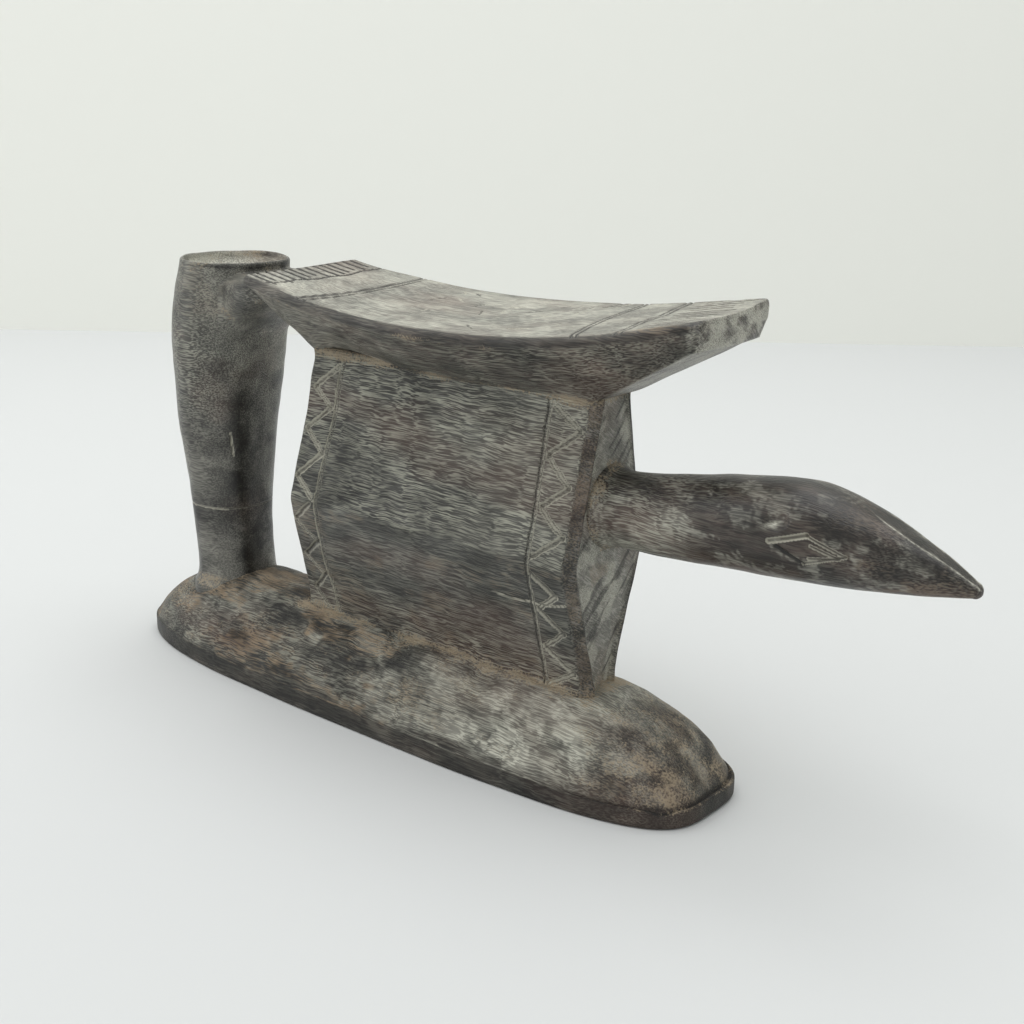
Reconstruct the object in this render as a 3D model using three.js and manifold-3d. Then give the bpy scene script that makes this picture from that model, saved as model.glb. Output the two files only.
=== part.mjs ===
// A carved wooden headrest: a long domed foot carries an upright handle post and a thick block,
// the block carries a saddle-shaped pillow, and a bird's neck and head grow from the block's end.
// Millimetres, +Z up, +X towards the beak. The origin is the centre of the foot's flat underside.
import * as THREE from "three";
import { mergeVertices } from "three/addons/utils/BufferGeometryUtils.js";
import Module from "manifold-3d";

const wasm = await Module();
wasm.setup();

// ---- driving dimensions -------------------------------------------------------------------
const GAP = 0.3; // clearance left where two carved members meet

const FOOT = { length: 259, width: 65.5, rim: 7, crown: 31, roundness: { left: 3, right: 3.6 } };
const POST = { height: 150, lip: 3.2, dishDepth: 10 };
const BLOCK = { x0: [-39.6, -36, -33], x1: 83.6, chamfer: 4, topHalf: 10.8, ridgeHalf: 22, footHalf: 9.6 };
const LEVEL = { blockFoot: 29.5, ridge: 73.4, blockTop: 124 }; // heights of the block's three outlines
const PILLOW = { x0: -51, x1: 125, sagX: 23, sagZ: 143.7, arcRadius: 425, edge: 2.8 };
const HEAD = { rootX: 76, crownX: 153, tipX: 205 };

// ---- helpers ------------------------------------------------------------------------------
const mix = (a, b, t) => a + (b - a) * t;
const clamp01 = (t) => Math.min(1, Math.max(0, t));

// A smooth single-valued curve through a few [along, value] points.
function profile(points) {
  const curve = new THREE.SplineCurve(points.map(([a, v]) => new THREE.Vector2(a, v)));
  const samples = curve.getPoints(points.length * 16);
  return (a) => {
    if (a <= samples[0].x) return samples[0].y;
    const next = samples.findIndex((p) => p.x >= a);
    if (next < 0) return samples[samples.length - 1].y;
    const [p, q] = [samples[next - 1], samples[next]];
    return mix(p.y, q.y, (a - p.x) / (q.x - p.x));
  };
}

// Skins a list of equal-length rings of points and closes both ends with a fan.
function loft(rings) {
  const count = rings[0].length;
  const centre = (ring) =>
    ring.reduce((sum, p) => sum.add(p), new THREE.Vector3()).divideScalar(count);
  const points = [...rings.flat(), centre(rings[0]), centre(rings[rings.length - 1])];
  const [first, last] = [points.length - 2, points.length - 1];
  const index = [];
  for (let i = 0; i < count; i++) {
    const j = (i + 1) % count;
    for (let r = 0; r + 1 < rings.length; r++) {
      const [a, b] = [r * count + i, r * count + j];
      index.push(a, b, b + count, a, b + count, a + count);
    }
    const top = (rings.length - 1) * count;
    index.push(first, j, i, last, top + i, top + j);
  }
  const geometry = new THREE.BufferGeometry().setFromPoints(points);
  geometry.setIndex(index);
  return geometry;
}

// A closed geometry as a manifold-3d solid, turned face-out if it was built inside out.
function solid(geometry) {
  const bare = geometry.clone();
  bare.deleteAttribute("normal");
  bare.deleteAttribute("uv");
  const merged = mergeVertices(bare, 1e-3);
  const make = (triVerts) =>
    new wasm.Manifold(
      new wasm.Mesh({ numProp: 3, vertProperties: merged.attributes.position.array, triVerts }),
    );
  const triVerts = new Uint32Array(merged.index.array);
  const made = make(triVerts);
  return made.volume() > 0 ? made : make(triVerts.reverse());
}

function geometryOf(manifold) {
  const mesh = manifold.getMesh();
  const geometry = new THREE.BufferGeometry();
  geometry.setAttribute("position", new THREE.BufferAttribute(mesh.vertProperties, 3));
  geometry.setIndex(new THREE.BufferAttribute(mesh.triVerts, 1));
  geometry.computeVertexNormals();
  return geometry;
}

// ---- foot: a superellipse plan with an upright rim and a domed top --------------------------
const FOOT_SEGMENTS = 72;
const END_FULLNESS = { left: 6.3, right: 6.9 }; // how long the dome keeps its height towards the ends
const SIDE_FULLNESS = 2.3; // and towards the two long sides

function footPoint(angle, share, z) {
  const [c, s] = [Math.cos(angle), Math.sin(angle)];
  const power = 2 / (c < 0 ? FOOT.roundness.left : FOOT.roundness.right);
  return new THREE.Vector3(
    (FOOT.length / 2) * share * Math.sign(c) * Math.abs(c) ** power,
    (FOOT.width / 2) * share * Math.sign(s) * Math.abs(s) ** power,
    z,
  );
}

function domeHeight(angle, share) {
  const towardsEnd = Math.cos(angle) < 0 ? END_FULLNESS.left : END_FULLNESS.right;
  const fullness = mix(SIDE_FULLNESS, towardsEnd, Math.abs(Math.cos(angle)) ** 6);
  return FOOT.rim + (FOOT.crown - FOOT.rim) * (1 - share ** fullness) ** 0.8;
}

function makeFoot(grow = 0) {
  const ring = (share, height) =>
    Array.from({ length: FOOT_SEGMENTS }, (_, i) => {
      const angle = (2 * Math.PI * (i + 0.5)) / FOOT_SEGMENTS;
      return footPoint(angle, share, typeof height === "number" ? height : height(angle) + grow);
    });
  const rings = [ring(0.985, 0), ring(1, 1.2), ring(1, FOOT.rim - 0.8)];
  for (const share of [0.985, 0.96, 0.92, 0.86, 0.78, 0.68, 0.56, 0.42, 0.27, 0.12]) {
    rings.push(ring(share, (angle) => domeHeight(angle, share)));
  }
  return solid(loft(rings));
}

// ---- post: a slightly swaying, swelling round handle with a shallow dish in its top ---------
const POST_SEGMENTS = 40;
const postRadius = profile([
  [14, 15.6], [26, 14.6], [38, 14.3], [50, 14.7], [66, 15.9], [86, 18.1], [105, 20.1], [124, 21.6],
  [138, 21], [150, 19.6],
]);
const postCentreX = profile([
  [14, -91.6], [34, -92.2], [50, -93.2], [66, -93.7], [86, -94], [105, -93.2], [124, -91],
  [138, -88.9], [150, -86.9],
]);

function makePost(grow = 0) {
  const ring = (radius, z) =>
    Array.from({ length: POST_SEGMENTS }, (_, i) => {
      const angle = (2 * Math.PI * i) / POST_SEGMENTS;
      const x = postCentreX(z) + radius * Math.cos(angle);
      return new THREE.Vector3(x, radius * Math.sin(angle), z);
    });
  const rings = [];
  for (let z = 14; z < POST.height - 2; z += 8) rings.push(ring(postRadius(z) + grow, z));
  rings.push(ring(postRadius(POST.height) + grow, POST.height - 0.6));
  rings.push(ring(postRadius(POST.height) + grow - 0.7, POST.height));
  const dish = postRadius(POST.height) - POST.lip;
  for (const turn of [0, 0.2, 0.42, 0.66, 0.86]) {
    const angle = (turn * Math.PI) / 2;
    rings.push(ring(dish * Math.cos(angle), POST.height - POST.dishDepth * Math.sin(angle)));
  }
  return solid(loft(rings));
}

// ---- block: ten-sided in plan, its long faces swelling out to a ridge below mid height --------
// The near right corner is pared off by BLOCK.chamfer; the other three only have their edge eased.
function blockRing(z, grow = 0) {
  const upper = z > LEVEL.ridge;
  const span = upper ? LEVEL.blockTop - LEVEL.ridge : LEVEL.ridge - LEVEL.blockFoot;
  const away = clamp01(Math.abs(z - LEVEL.ridge) / span);
  const half = mix(BLOCK.ridgeHalf, upper ? BLOCK.topHalf : BLOCK.footHalf, away) + grow;
  const x0 = mix(BLOCK.x0[1], BLOCK.x0[upper ? 2 : 0], away) - grow;
  const x1 = BLOCK.x1 + grow;
  const [nose, face] = [BLOCK.chamfer, half - BLOCK.chamfer * 0.75];
  const middle = (x0 + x1) / 2;
  const corners = [
    [x0, -half], [middle, -half - 0.4], [x1, -half], [x1 + nose, -face], [x1 + nose - 1, 0],
    [x1 + 1.2, half - 2.5], [x1 - 0.6, half], [middle, half + 0.4], [x0, half],
    [x0 - 1.6, half - 2], [x0 - 2.4, 0], [x0 - 1.6, 2 - half],
  ];
  return corners.map(([x, y]) => new THREE.Vector3(x, y, z));
}

function makeBlock(grow = 0) {
  const { blockFoot, ridge, blockTop } = LEVEL;
  const levels = [14, blockFoot, 51, ridge - 2, ridge + 2, 99, blockTop - GAP];
  return solid(loft(levels.map((z) => blockRing(z, grow))));
}

// ---- pillow: a saddle board whose underside tapers down to the block -------------------------
const pillowHalf = profile([
  [-51, 27.4], [-20, 28.8], [22, 29.2], [66, 27.4], [100, 24.2], [125, 21.2],
]);
// The far long edge stands a little higher than the near one.
const pillowTilt = profile([[-51, 0.2], [-8, 1.4], [22, 1.7], [61, 2], [100, 1.8], [125, 1.2]]);
const saddleZ = (x) => PILLOW.sagZ + (x - PILLOW.sagX) ** 2 / (2 * PILLOW.arcRadius);

function pillowSection(x, grow = 0) {
  const before = clamp01((BLOCK.x0[2] - x) / (BLOCK.x0[2] - PILLOW.x0));
  const after = clamp01((x - BLOCK.x1) / (PILLOW.x1 - BLOCK.x1));
  const [half, tilt, top] = [pillowHalf(x) + grow, pillowTilt(x), saddleZ(x) + grow];
  const keelZ = mix(mix(LEVEL.blockTop, 146.4, before), 145.6, after) - grow * 1.4;
  const keelHalf = mix(mix(BLOCK.topHalf, half - 2, before), half - 4.5, after);
  const side = (sign) => {
    const edgeZ = top + sign * tilt;
    const lipZ = Math.max(edgeZ - PILLOW.edge, keelZ + 0.6);
    const belly = 0.12 * (half - keelHalf);
    return [
      [sign * keelHalf, keelZ],
      [sign * (mix(keelHalf, half, 0.5) + belly), mix(keelZ, lipZ, 0.5) - belly],
      [sign * (half - 0.4), lipZ],
      [sign * half, edgeZ - 0.7],
      [sign * (half - 0.9), edgeZ],
      [sign * half * 0.5, top + (sign * tilt) / 2],
    ];
  };
  const outline = [...side(1), [0, top], ...side(-1).reverse()];
  return outline.map(([y, z]) => new THREE.Vector3(x, y, z));
}

// The mass that ties the post to the saddle's end, fairing out from the post to the saddle.
function makeTie() {
  const section = (x, half, z0, z1) =>
    [
      [-half * 0.55, z0], [half * 0.55, z0], [half * 0.92, mix(z0, z1, 0.45)], [half, z1],
      [-half, z1], [-half * 0.92, mix(z0, z1, 0.45)],
    ].map(([y, z]) => new THREE.Vector3(x, y, z));
  return solid(
    loft([
      section(-74, 13, 117, 141), section(-66, 18, 122, 144), section(-56, 22.5, 128, 146),
      section(-49, 24.5, 132.5, 147), section(-42, 21, 138, 145),
    ]),
  );
}

function makePillow(grow = 0) {
  const left = pillowSection(PILLOW.x0, grow);
  const sections = [left.map((p) => new THREE.Vector3(p.x - grow, p.y, p.z))];
  for (const x of [-48, -43, -38, BLOCK.x0[2]]) sections.push(pillowSection(x, grow));
  const steps = 10;
  for (let i = 1; i <= steps; i++) {
    sections.push(pillowSection(mix(BLOCK.x0[2], BLOCK.x1, i / steps), grow));
  }
  for (const x of [91, 98, 105, 112, 119]) sections.push(pillowSection(x, grow));
  // The right-hand end is faced off with a swell in plan, and leans back under its top edge.
  const nose = pillowSection(PILLOW.x1, grow).map((p) => {
    const swell = 3 * (1 - (p.y / 24) ** 2);
    const lean = 0.45 * Math.max(0, 152 - p.z);
    return new THREE.Vector3(p.x + swell - lean, p.y * 0.96, p.z + 0.3 * lean);
  });
  sections.push(nose);
  return solid(loft(sections));
}

// ---- neck and head: an oval bar that swells at the crown and tapers to a beak ----------------
const HEAD_SEGMENTS = 28;
const headTop = profile([
  [82, 101.8], [95, 102.6], [113, 105.2], [131, 108.5], [148, 111.1], [156.5, 111.5], [165, 110.1],
  [173, 107.6], [181, 104.5], [189, 100.7], [197, 97], [205, 92.6],
]);
const headBottom = profile([
  [82, 78.6], [97, 78.8], [110, 79.2], [124, 80.3], [142, 81.7], [159, 83], [175, 84.9], [191, 87],
  [205, 89.6],
]);
const headHalf = profile([
  [82, 13.5], [90, 11.6], [100, 11], [112, 11.6], [130, 12.8], [146, 13.8], [157, 13.6], [170, 11.6],
  [184, 8.2], [196, 4.8], [205, 2.2],
]);

function headSection(x) {
  const [top, bottom, half] = [headTop(x), headBottom(x), headHalf(x)];
  const beak = clamp01((x - HEAD.crownX) / 30); // the beak's section squares up along its top
  const power = mix(1, 0.82, beak);
  return Array.from({ length: HEAD_SEGMENTS }, (_, i) => {
    const angle = (2 * Math.PI * (i + 0.5)) / HEAD_SEGMENTS;
    const [c, s] = [Math.cos(angle), Math.sin(angle)];
    return new THREE.Vector3(
      x,
      half * Math.sign(c) * Math.abs(c) ** power,
      mix(bottom, top, 0.5 + 0.5 * Math.sign(s) * Math.abs(s) ** power),
    );
  });
}

function makeHead() {
  const stations = [
    HEAD.rootX, 84, 91, 100, 109, 118, 127, 136, 144, 151, 158, 164, 170, 176, 182, 188, 194, 200,
  ];
  const sections = stations.map(headSection);
  sections.push(headSection(HEAD.tipX - 1.2));
  const tip = headSection(HEAD.tipX).map(
    (p) => new THREE.Vector3(HEAD.tipX, p.y * 0.55, mix(91, p.z, 0.55)),
  );
  return solid(loft([...sections, tip]));
}

// ---- the five carved members, each cut back where it meets its neighbour ---------------------
const footSolid = makeFoot();
const footClear = makeFoot(GAP);
const postSolid = makePost().add(makeTie()).subtract(footClear).subtract(makePillow(GAP));
const blockSolid = makeBlock().subtract(footClear);
const pillowSolid = makePillow();
const headSolid = makeHead().subtract(makeBlock(GAP));

const MEMBERS = [
  ["foot", footSolid, 0x4d4843, 0.72],
  ["handle_post", postSolid, 0x3b3632, 0.6],
  ["block", blockSolid, 0x403d3a, 0.66],
  ["pillow", pillowSolid, 0x57524d, 0.58],
  ["neck_and_head", headSolid, 0x453f3b, 0.55],
];

const headrest = new THREE.Group();
for (const [name, manifold, color, roughness] of MEMBERS) {
  const finish = new THREE.MeshStandardMaterial({ color, roughness, metalness: 0 });
  const mesh = new THREE.Mesh(geometryOf(manifold), finish);
  mesh.name = name;
  headrest.add(mesh);
}

export default headrest;
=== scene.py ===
# %% [markdown]
# # A headrest carved from one block of dark wood
#
# The real object is a neck rest. One block of dense, dark wood was cut down with an adze and a
# knife into a long domed foot, an upright handle post, a thick ridged block, a curved pillow and
# a bird's neck and head. Its grain runs along the length of every member without a break.
#
# This lesson builds each member as a dense carved surface, cuts the incised patterns into it with
# Geometry Nodes, and covers all of them with one wood, so that the grain runs on from member to
# member as it does in a single block. We start with the imported frame, which fixes every place
# and size.

# %% Load the frame
import math

import bpy
import numpy as np
from mathutils import Matrix, Vector


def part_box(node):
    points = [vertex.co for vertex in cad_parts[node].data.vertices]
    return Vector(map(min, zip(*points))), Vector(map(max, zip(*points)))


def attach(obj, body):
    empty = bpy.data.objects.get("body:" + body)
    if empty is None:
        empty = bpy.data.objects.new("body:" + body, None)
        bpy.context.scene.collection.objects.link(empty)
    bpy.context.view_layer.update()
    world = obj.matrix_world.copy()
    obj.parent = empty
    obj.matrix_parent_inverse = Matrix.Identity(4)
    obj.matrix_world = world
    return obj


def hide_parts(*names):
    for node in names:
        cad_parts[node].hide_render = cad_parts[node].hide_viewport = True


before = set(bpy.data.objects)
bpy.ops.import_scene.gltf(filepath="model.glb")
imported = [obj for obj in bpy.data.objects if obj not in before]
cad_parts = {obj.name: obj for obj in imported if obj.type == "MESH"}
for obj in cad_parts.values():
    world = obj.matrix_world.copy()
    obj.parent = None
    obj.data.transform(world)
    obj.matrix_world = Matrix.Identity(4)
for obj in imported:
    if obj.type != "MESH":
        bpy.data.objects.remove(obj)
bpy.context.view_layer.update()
MM = 0.001  # everything below is worked out in millimetres, and stored in metres
print("members:", sorted(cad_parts))


def box_mm(node):
    low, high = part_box(node)
    return np.array(low) / MM, np.array(high) / MM


# %% [markdown]
# ## The camera
#
# The camera stands in front of the beak's side, a little above the pillow, and looks down along
# the object. It is held by an azimuth, an elevation and a distance from a point inside the
# object, because those three numbers are easy to reason about, and turned by one degree about
# its own axis, as a hand-held camera is.

# %% Camera
AZIMUTH, ELEVATION, ROLL = 39.25, 17.16, 1.0
DISTANCE, LOOK_AT = 0.4890, Vector((0.0465, 0.0, 0.0800))
FOCAL_LENGTH, SENSOR_WIDTH, NEAREST = 52.57, 36, 0.01  # millimetres twice, then metres


def stand(azimuth, elevation, roll, distance, target):
    a, e, r = (math.radians(angle) for angle in (azimuth, elevation, roll))
    back = Vector((math.sin(a) * math.cos(e), -math.cos(a) * math.cos(e), math.sin(e)))
    right = Vector((0, 0, 1)).cross(back).normalized()
    up = back.cross(right)
    turned_right = math.cos(r) * right + math.sin(r) * up
    turned_up = math.cos(r) * up - math.sin(r) * right
    axes = Matrix((turned_right, turned_up, back)).transposed()
    return Matrix.Translation(target + back * distance) @ axes.to_4x4()


camera = bpy.data.objects.new("camera", bpy.data.cameras.new("camera"))
camera.data.lens = FOCAL_LENGTH
camera.data.sensor_width = SENSOR_WIDTH
camera.data.clip_start = NEAREST
camera.matrix_world = stand(AZIMUTH, ELEVATION, ROLL, DISTANCE, LOOK_AT)
bpy.context.collection.objects.link(camera)
bpy.context.scene.camera = camera
print("camera at", [round(v, 3) for v in camera.matrix_world.translation])

# %% [markdown]
# ## Carver's tools
#
# A few small helpers do most of the work. `curve_through` is a smooth curve through a few
# measured stations, which is how a carver thinks of a profile. `lumps` is a soft noise, used for
# the unevenness that a blade leaves. `skin` closes a stack of rings into one outward-facing
# mesh. `soft` is a gentle step from 0 to 1, and `fade` dies away from a crease; both blend one
# surface into the next.


# %% Curves, steps and noise
def curve_through(*stations):
    x, y = np.array(stations, float).T
    slope = np.gradient(y, x)

    def at(t):
        t = np.clip(np.asarray(t, float), x[0], x[-1])
        i = np.clip(np.searchsorted(x, t) - 1, 0, len(x) - 2)
        span = x[i + 1] - x[i]
        s = (t - x[i]) / span
        start = y[i] * (1 + 2 * s) * (1 - s) ** 2 + span * slope[i] * s * (1 - s) ** 2
        return start + y[i + 1] * s * s * (3 - 2 * s) + span * slope[i + 1] * s * s * (s - 1)

    return at


def soft(low, high, value):
    s = np.clip((np.asarray(value, float) - low) / (high - low), 0, 1)
    return s * s * (3 - 2 * s)


def fade(distance, reach):
    return np.exp(-np.clip(distance, 0, None) / reach)


LATTICE = 32  # cells on each side of the noise before it repeats


def lumps(points, size, seed):
    """A smooth noise from -1 to 1 whose bumps are about `size` across."""
    lattice = np.random.default_rng(seed).uniform(-1, 1, (LATTICE, LATTICE, LATTICE))
    at = np.asarray(points, float) / size + 2 * LATTICE
    cell = np.floor(at).astype(int)
    s = at - cell
    s = s * s * (3 - 2 * s)
    total = 0
    for i in (0, 1):
        for j in (0, 1):
            for k in (0, 1):
                weight = np.abs(1 - i - s[..., 0]) * np.abs(1 - j - s[..., 1])
                weight = weight * np.abs(1 - k - s[..., 2])
                corner = (cell + (i, j, k)) % LATTICE
                total = total + weight * lattice[corner[..., 0], corner[..., 1], corner[..., 2]]
    return total


# %% Skins
def skin(name, rings):
    """Closes a stack of equal rings, in millimetres, into one outward-facing mesh object."""
    rings = np.asarray(rings, float)
    levels, around = rings.shape[:2]
    ends = [rings[0].mean(0), rings[-1].mean(0)]
    points = np.vstack([rings.reshape(-1, 3), ends])
    a = np.arange(levels * around).reshape(levels, around)
    b = np.roll(a, -1, 1)
    walls = np.stack([a[:-1], b[:-1], b[1:], a[1:]], -1).reshape(-1, 4)
    first, last = levels * around, levels * around + 1
    caps = [(first, b[0, i], a[0, i]) for i in range(around)]
    caps += [(last, a[-1, i], b[-1, i]) for i in range(around)]
    mesh = bpy.data.meshes.new(name)
    mesh.from_pydata((points * MM).tolist(), [], walls.tolist() + caps)
    volume = sum(Vector(points[w[0]]).dot(Vector(points[w[1]]).cross(Vector(points[w[2]])))
                 + Vector(points[w[0]]).dot(Vector(points[w[2]]).cross(Vector(points[w[3]])))
                 for w in walls[:: max(1, len(walls) // 4000)])
    if volume < 0:
        mesh.flip_normals()
    mesh.polygons.foreach_set("use_smooth", [True] * len(mesh.polygons))
    piece = bpy.data.objects.new(name, mesh)
    bpy.context.collection.objects.link(piece)
    print(f"{name}: {len(mesh.vertices)} points, {2 * len(walls) + 2 * around} triangles")
    return piece


def points_of(piece):
    flat = np.empty(len(piece.data.vertices) * 3)
    piece.data.vertices.foreach_get("co", flat)
    return flat.reshape(-1, 3) / MM


def normals_of(piece):
    flat = np.empty(len(piece.data.vertices) * 3)
    piece.data.vertex_normals.foreach_get("vector", flat)
    return flat.reshape(-1, 3)


def paint(piece, name, values):
    """Stores one number per point, for the wood to read."""
    layer = piece.data.attributes.get(name) or piece.data.attributes.new(name, "FLOAT", "POINT")
    layer.data.foreach_set("value", np.clip(values, 0, 1).astype(np.float32))
    piece.data.update()


def spaced(low, high, step):
    return np.linspace(low, high, max(2, int(round(abs(high - low) / step)) + 1))


# %% [markdown]
# ## The block's measures
#
# The block comes first, because the other members grow out of it. Its two long faces swell out
# to a ridge a little below mid height, so each face is two flat facets that meet at a level
# line. The right-hand end is a rough adzed face whose near corner has been pared away, and the
# three other corners only have their edge taken off.

# %% Block: outline at a height
block_low, block_high = box_mm("block")
BLOCK_TOP, RIDGE, BLOCK_FOOT = 124.0, 73.4, 29.5
block_half = curve_through((14, 9.2), (29.5, 9.6), (50, 15.4), (68, 20.5), (73.4, 21.7), (79, 20.7),
                           (99, 16.4), (118, 12.2), (124, 10.9))
left_edge = curve_through((14, -39.9), (29.5, -39.6), (50, -38), (73.4, -36), (99, -34.4), (124, -33))
right_edge = curve_through((14, 83.4), (73.4, 83.4), (124, 84.2))


def rounded(corners, cuts, edge_steps):
    """Walks once round a polygon at every height, with each corner cut to a short arc."""
    count = corners.shape[1]
    parts = []
    for i in range(count):
        here, before, after = corners[:, i], corners[:, i - 1], corners[:, (i + 1) % count]
        into = here + (before - here) / np.linalg.norm(before - here, axis=-1)[:, None] * cuts[i]
        out = here + (after - here) / np.linalg.norm(after - here, axis=-1)[:, None] * cuts[i]
        t = np.linspace(0, 1, 6)[None, :, None]
        parts.append(into[:, None] * (1 - t) ** 2 + here[:, None] * 2 * t * (1 - t) + out[:, None] * t**2)
        then = corners[:, (i + 1) % count]
        beyond = here - then
        stop = then + beyond / np.linalg.norm(beyond, axis=-1)[:, None] * cuts[(i + 1) % count]
        share = edge_steps[i][None, 1:-1, None]
        parts.append(out[:, None] * (1 - share) + stop[:, None] * share)
    return np.concatenate(parts, axis=1)


def face_steps(fine_share, fine_count, coarse_count):
    """Close steps near both ends of a long edge, where the borders are cut, wide in the middle."""
    close = np.linspace(0, fine_share, fine_count)
    middle = np.linspace(fine_share, 1 - fine_share, coarse_count)[1:-1]
    return np.concatenate([close, middle, 1 - close[::-1]])


def block_rings(z):
    half, x0, x1 = block_half(z), left_edge(z), right_edge(z)
    corners = np.stack([
        np.stack([x0, -half], -1), np.stack([x1, -half], -1),
        np.stack([x1 + 4.0, 3 - half], -1), np.stack([x1 + 3.2, 0 * half], -1),
        np.stack([x1 + 1.2, half - 2.5], -1), np.stack([x1 - 0.6, half], -1),
        np.stack([x0, half], -1), np.stack([x0 - 1.6, half - 2], -1),
        np.stack([x0 - 2.4, 0 * half], -1), np.stack([x0 - 1.6, 2 - half], -1)], axis=1)
    cuts = [0.7, 0.6, 0.9, 2.0, 0.8, 0.6, 0.7, 0.7, 1.5, 0.7]
    even = [np.linspace(0, 1, n) for n in (9, 20, 20, 6, 6, 10, 10, 6)]
    steps = [face_steps(0.145, 52, 42)] + even[:4] + [face_steps(0.145, 40, 24)] + even[4:]
    outline = rounded(corners, cuts, steps)
    return np.dstack([outline, np.repeat(z[:, None], outline.shape[1], 1)])


print("block", block_low.round(1), "to", block_high.round(1))

# %% [markdown]
# ## The block
#
# It could be a box with loop cuts, but the borders need rows of small faces only near its two
# upright edges. A stack of outlines lets us choose the spacing: close where the knife worked,
# wide in the plain middle. Broad, shallow lumps stand for the adze's work on the long faces, and
# both ends get real facets: each stroke of an adze leaves a small plane, and the lowest plane at
# each point is what remains.

# %% Facets left by an adze
def facets(u, v, crown, depth, count, seed):
    """Height below a crowned face, cut by planes that each touch the crown near one stroke."""
    rng = np.random.default_rng(seed)
    lowest = np.full(np.shape(u), 1e9)
    for cu, cv in rng.uniform(-1, 1, (count, 2)):
        tilt_u, tilt_v = rng.normal(0, 0.35, 2)
        touch = -crown * (cu**2 + cv**2)
        plane = touch + (tilt_u - 2 * crown * cu) * (u - cu) + (tilt_v - 2 * crown * cv) * (v - cv)
        lowest = np.minimum(lowest, plane + rng.uniform(0, 0.4) * crown)
    return np.clip(lowest, -1.5, 1.5) * depth


def adze_axes(y, z):
    """Distances along and across the slanting strokes on the block's ends, from mid height."""
    return 0.80 * y + 0.60 * (z - 75), 0.80 * (z - 75) - 0.60 * y


# %% Block
levels = np.concatenate([spaced(15, 26, 1.2), spaced(26.5, 123.6, 0.45), [124.4, 126]])
rings = block_rings(levels)
x, y, z = rings[..., 0], rings[..., 1], rings[..., 2]
flare = 0.7 * fade(BLOCK_TOP - z, 1.4) + 1.0 * fade(z - BLOCK_FOOT, 2.0)
rings[..., 1] += np.sign(y) * flare * np.clip(np.abs(y) / 8, 0, 1)
waver = 0.5 * lumps(rings * (0.6, 1, 1), 17, 3) + 0.2 * lumps(rings * (0.5, 1, 1), 5.5, 4)
rings[..., 1] += np.sign(y) * waver * soft(6, 10, np.abs(y))
along, across = adze_axes(y, z)
half = np.repeat(block_half(levels)[:, None], rings.shape[1], 1)
within = soft(-0.2, 1.1, y - 3 + half) * soft(-0.2, 1.1, half - 2.5 - y)
right_end = within * (x > right_edge(z) + 0.8)
left_end = within * (x < left_edge(z) - 0.8)
strip = soft(0.2, 0.8, x - right_edge(z)) * (1 - soft(-0.3, 0.4, y - 3 + half))
right_cut = facets(along / 34, across / 20, 0.55, 1.7, 22, 11)
left_cut = facets(along / 34, -across / 20, 0.5, 1.4, 20, 15)
rings[..., 0] += right_end * (right_cut + 0.25 * lumps(rings, 5, 12))
rings[..., 0] += strip * 0.45 * lumps(rings, 3.2, 13)
rings[..., 0] -= left_end * (left_cut + 0.25 * lumps(rings, 5, 16))
block = skin("carved_block", rings)
on_block_end, on_strip = (np.append(where, [0, 0]) for where in (right_end + left_end, strip))

# %% [markdown]
# ## The foot
#
# The foot is a long, nearly oval base, squarer at the beak's end. A low upright band runs round
# it, and above the band the wood domes up to the block. Rings that shrink from the outline to
# the middle follow that shape well. They are spaced evenly along the outline, because equal
# angles would leave the long sides almost bare of points.

# %% Foot: outline and dome
foot_low, foot_high = box_mm("foot")
FOOT_LENGTH, FOOT_WIDTH = (foot_high - foot_low)[:2]
RIM, CROWN = 6.9, 31.0


def foot_outline(count):
    """Points at even steps round the foot, with how squarely each one faces an end."""
    angle = np.linspace(0, 2 * math.pi, 24001)
    c, s = np.cos(angle), np.sin(angle)
    power = np.where(c < 0, 2 / 3.0, 2 / 3.6)
    x = FOOT_LENGTH / 2 * np.sign(c) * np.abs(c) ** power
    y = FOOT_WIDTH / 2 * np.sign(s) * np.abs(s) ** power
    walked = np.concatenate([[0], np.cumsum(np.hypot(np.diff(x), np.diff(y)))])
    at = np.linspace(0, walked[-1], count, endpoint=False)
    return [np.interp(at, walked, value) for value in (x, y, np.abs(c))]


def dome(share, endward, x):
    """Height above the rim at a share of the way out, fuller towards the ends."""
    fullness = 2.3 + (np.where(x < 0, 6.3, 6.9) - 2.3) * endward**6
    return (CROWN - RIM) * (1 - np.clip(share, 0, 1) ** fullness) ** 0.8


# %% Foot
LEDGE_ROWS = slice(12, 14)  # the two rows of points tucked in under the standing rim
edge_x, edge_y, endward = foot_outline(720)
edge = np.stack([edge_x, edge_y, 0 * edge_x], -1)
rim_here = RIM - 1.0 * soft(60, 125, edge_x) + 0.5 * lumps(edge + (0, 0, 9), 17, 22)
ledge = soft(78, 116, edge_x)  # the rim stands clear of the dome only at the beak's end
rows = [(0.4, 0), (0.8, 0), (0.985, 0), (0.996, 0.15), (0.9995, 0.7), (1.0, 1.6), (1.0, 0.35 * rim_here),
        (1.0, 0.6 * rim_here), (1.0, 0.85 * rim_here), (0.9995, 0.94 * rim_here), (0.998, 0.985 * rim_here),
        (0.9965 - 0.004 * ledge, rim_here), (0.9955 - 0.0075 * ledge, rim_here - 0.8 * ledge),
        (0.9945 - 0.0095 * ledge, rim_here - 0.8 * ledge)]
rings = [np.stack([edge_x * share, edge_y * share, height + 0 * edge_x], -1) for share, height in rows]
start = 0.9935 - 0.0105 * ledge
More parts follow.
